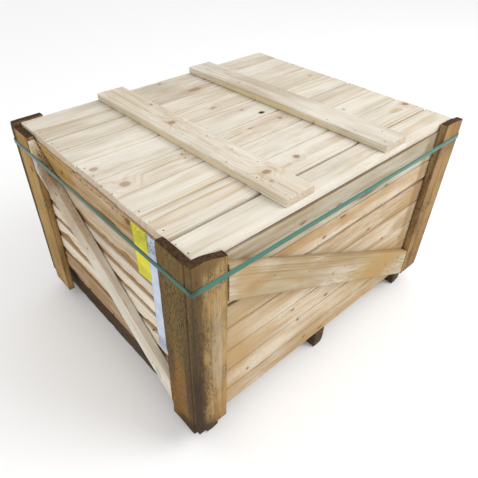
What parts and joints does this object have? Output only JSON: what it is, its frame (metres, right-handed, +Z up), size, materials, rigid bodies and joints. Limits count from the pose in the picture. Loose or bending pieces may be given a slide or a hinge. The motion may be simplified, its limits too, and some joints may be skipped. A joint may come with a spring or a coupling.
{
  "type": "shipping crate",
  "caption": "Nailed softwood shipping crate: board walls with corner cleats and diagonal braces, a battened lift-off lid, skids for forks and a tensioned strap.",
  "frame": {"origin": "on the ground, under the middle of the crate, in the plane of the skids' undersides", "axes": "+Z up, +X along the crate's long walls, -Y towards its front; the left wall is at -X"},
  "size_m": [1.0476, 0.8776, 0.6799],
  "materials": {
    "wall_wood": "matte",
    "cleat_wood": "matte",
    "brace_wood": "matte",
    "lid_wood": "matte",
    "skid_wood": "matte",
    "deck_wood": "matte",
    "strap": "satin",
    "nail_steel": "satin",
    "label_paper": "matte"
  },
  "bodies": {
    "crate": {"back_board_1": "wall_wood", "back_board_2": "wall_wood", "back_board_3": "wall_wood", "back_board_4": "wall_wood", "back_board_5": "wall_wood", "back_board_6": "wall_wood", "back_brace": "brace_wood", "back_cleat_left": "cleat_wood", "back_cleat_right": "cleat_wood", "deck_board_1": "deck_wood", "deck_board_2": "deck_wood", "deck_board_3": "deck_wood", "deck_board_4": "deck_wood", "deck_board_5": "deck_wood", "front_board_1": "wall_wood", "front_board_2": "wall_wood", "front_board_3": "wall_wood", "front_board_4": "wall_wood", "front_board_5": "wall_wood", "front_board_6": "wall_wood", "front_board_7": "wall_wood", "front_brace": "brace_wood", "front_cleat_left": "cleat_wood", "front_cleat_right": "cleat_wood", "left_board_1": "wall_wood", "left_board_2": "wall_wood", "left_board_3": "wall_wood", "left_board_4": "wall_wood", "left_board_5": "wall_wood", "left_board_6": "wall_wood", "left_board_7": "wall_wood", "left_brace": "brace_wood", "left_cleat_back": "cleat_wood", "left_cleat_front": "cleat_wood", "right_board_1": "wall_wood", "right_board_2": "wall_wood", "right_board_3": "wall_wood", "right_board_4": "wall_wood", "right_board_5": "wall_wood", "right_board_6": "wall_wood", "right_brace": "brace_wood", "right_cleat_back": "cleat_wood", "right_cleat_front": "cleat_wood", "sill_left": "deck_wood", "sill_right": "deck_wood", "skid_left": "skid_wood", "skid_middle": "skid_wood", "skid_right": "skid_wood", "strap": "strap"},
    "lid": {"lid_batten_left": "lid_wood", "lid_batten_right": "lid_wood", "lid_board_1": "lid_wood", "lid_board_2": "lid_wood", "lid_board_3": "lid_wood", "lid_board_4": "lid_wood", "lid_board_5": "lid_wood", "lid_board_6": "lid_wood", "lid_board_7": "lid_wood", "lid_board_8": "lid_wood", "lid_board_9": "lid_wood"}
  },
  "joints": [
    {"name": "lid_lift", "type": "slide", "parent": "crate", "child": "lid", "axis": [0, 0, 1], "range_m": [0, 0.3]}
  ]
}
